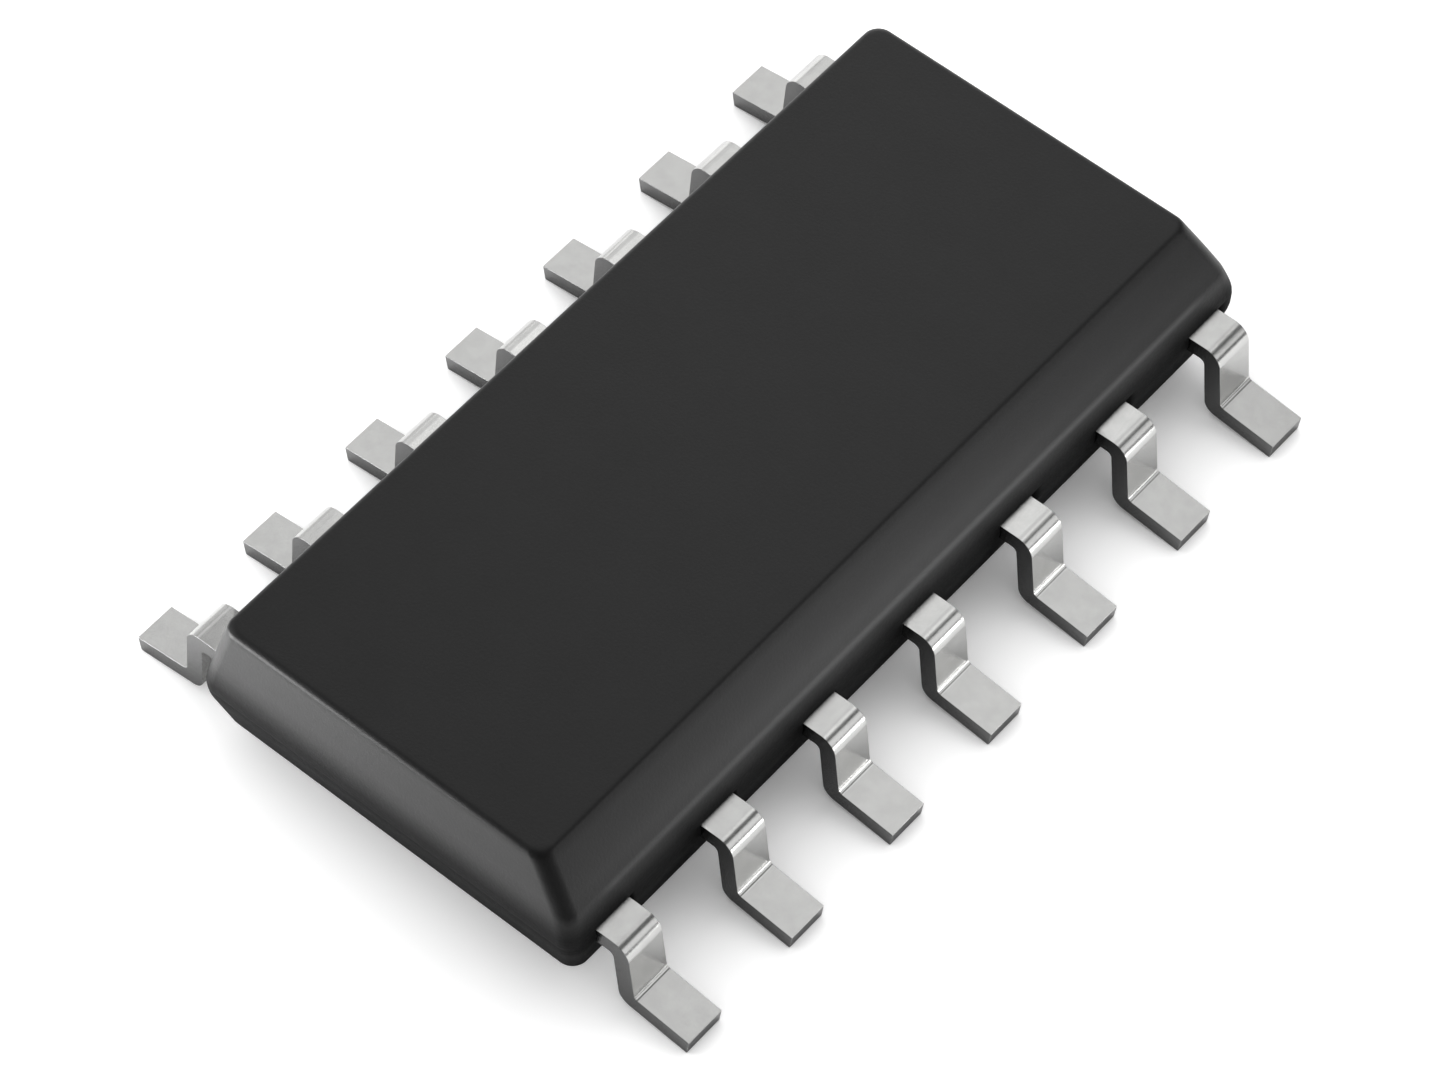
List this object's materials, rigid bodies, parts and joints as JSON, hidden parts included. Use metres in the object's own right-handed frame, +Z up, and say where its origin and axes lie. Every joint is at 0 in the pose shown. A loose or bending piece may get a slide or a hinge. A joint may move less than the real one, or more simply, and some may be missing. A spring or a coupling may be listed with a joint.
{
  "type": "small outline integrated circuit package",
  "caption": "Surface mount chip: a black moulded body with one bevelled long edge and rows of gull wing leads down both long sides.",
  "frame": {"origin": "middle of the footprint, on the seating plane that the toes of the leads stand on", "axes": "+Z up out of the board, +Y along the body, +X towards the bevelled side, which carries pins 1 to 7"},
  "size_m": [0.006, 0.0086, 0.0016],
  "materials": {
    "mould_compound": "fine grained black epoxy mould compound",
    "tin_plate": "satin tin plate on copper alloy",
    "frame_copper": "bare copper alloy strip",
    "silver_glue": "cured silver filled glue",
    "silicon": "polished silicon",
    "gold_wire": "bright drawn gold wire"
  },
  "bodies": {
    "root": {"moulded_body": "mould_compound", "pin_1": "tin_plate", "pin_2": "tin_plate", "pin_3": "tin_plate", "pin_4": "tin_plate", "pin_5": "tin_plate", "pin_6": "tin_plate", "pin_7": "tin_plate", "pin_8": "tin_plate", "pin_9": "tin_plate", "pin_10": "tin_plate", "pin_11": "tin_plate", "pin_12": "tin_plate", "pin_13": "tin_plate", "pin_14": "tin_plate", "die_pad": "frame_copper", "die_attach": "silver_glue", "silicon_die": "silicon", "bond_wire_1": "gold_wire", "bond_wire_2": "gold_wire", "bond_wire_3": "gold_wire", "bond_wire_4": "gold_wire", "bond_wire_5": "gold_wire", "bond_wire_6": "gold_wire", "bond_wire_7": "gold_wire", "bond_wire_8": "gold_wire", "bond_wire_9": "gold_wire", "bond_wire_10": "gold_wire", "bond_wire_11": "gold_wire", "bond_wire_12": "gold_wire", "bond_wire_13": "gold_wire", "bond_wire_14": "gold_wire"}
  },
  "joints": []
}
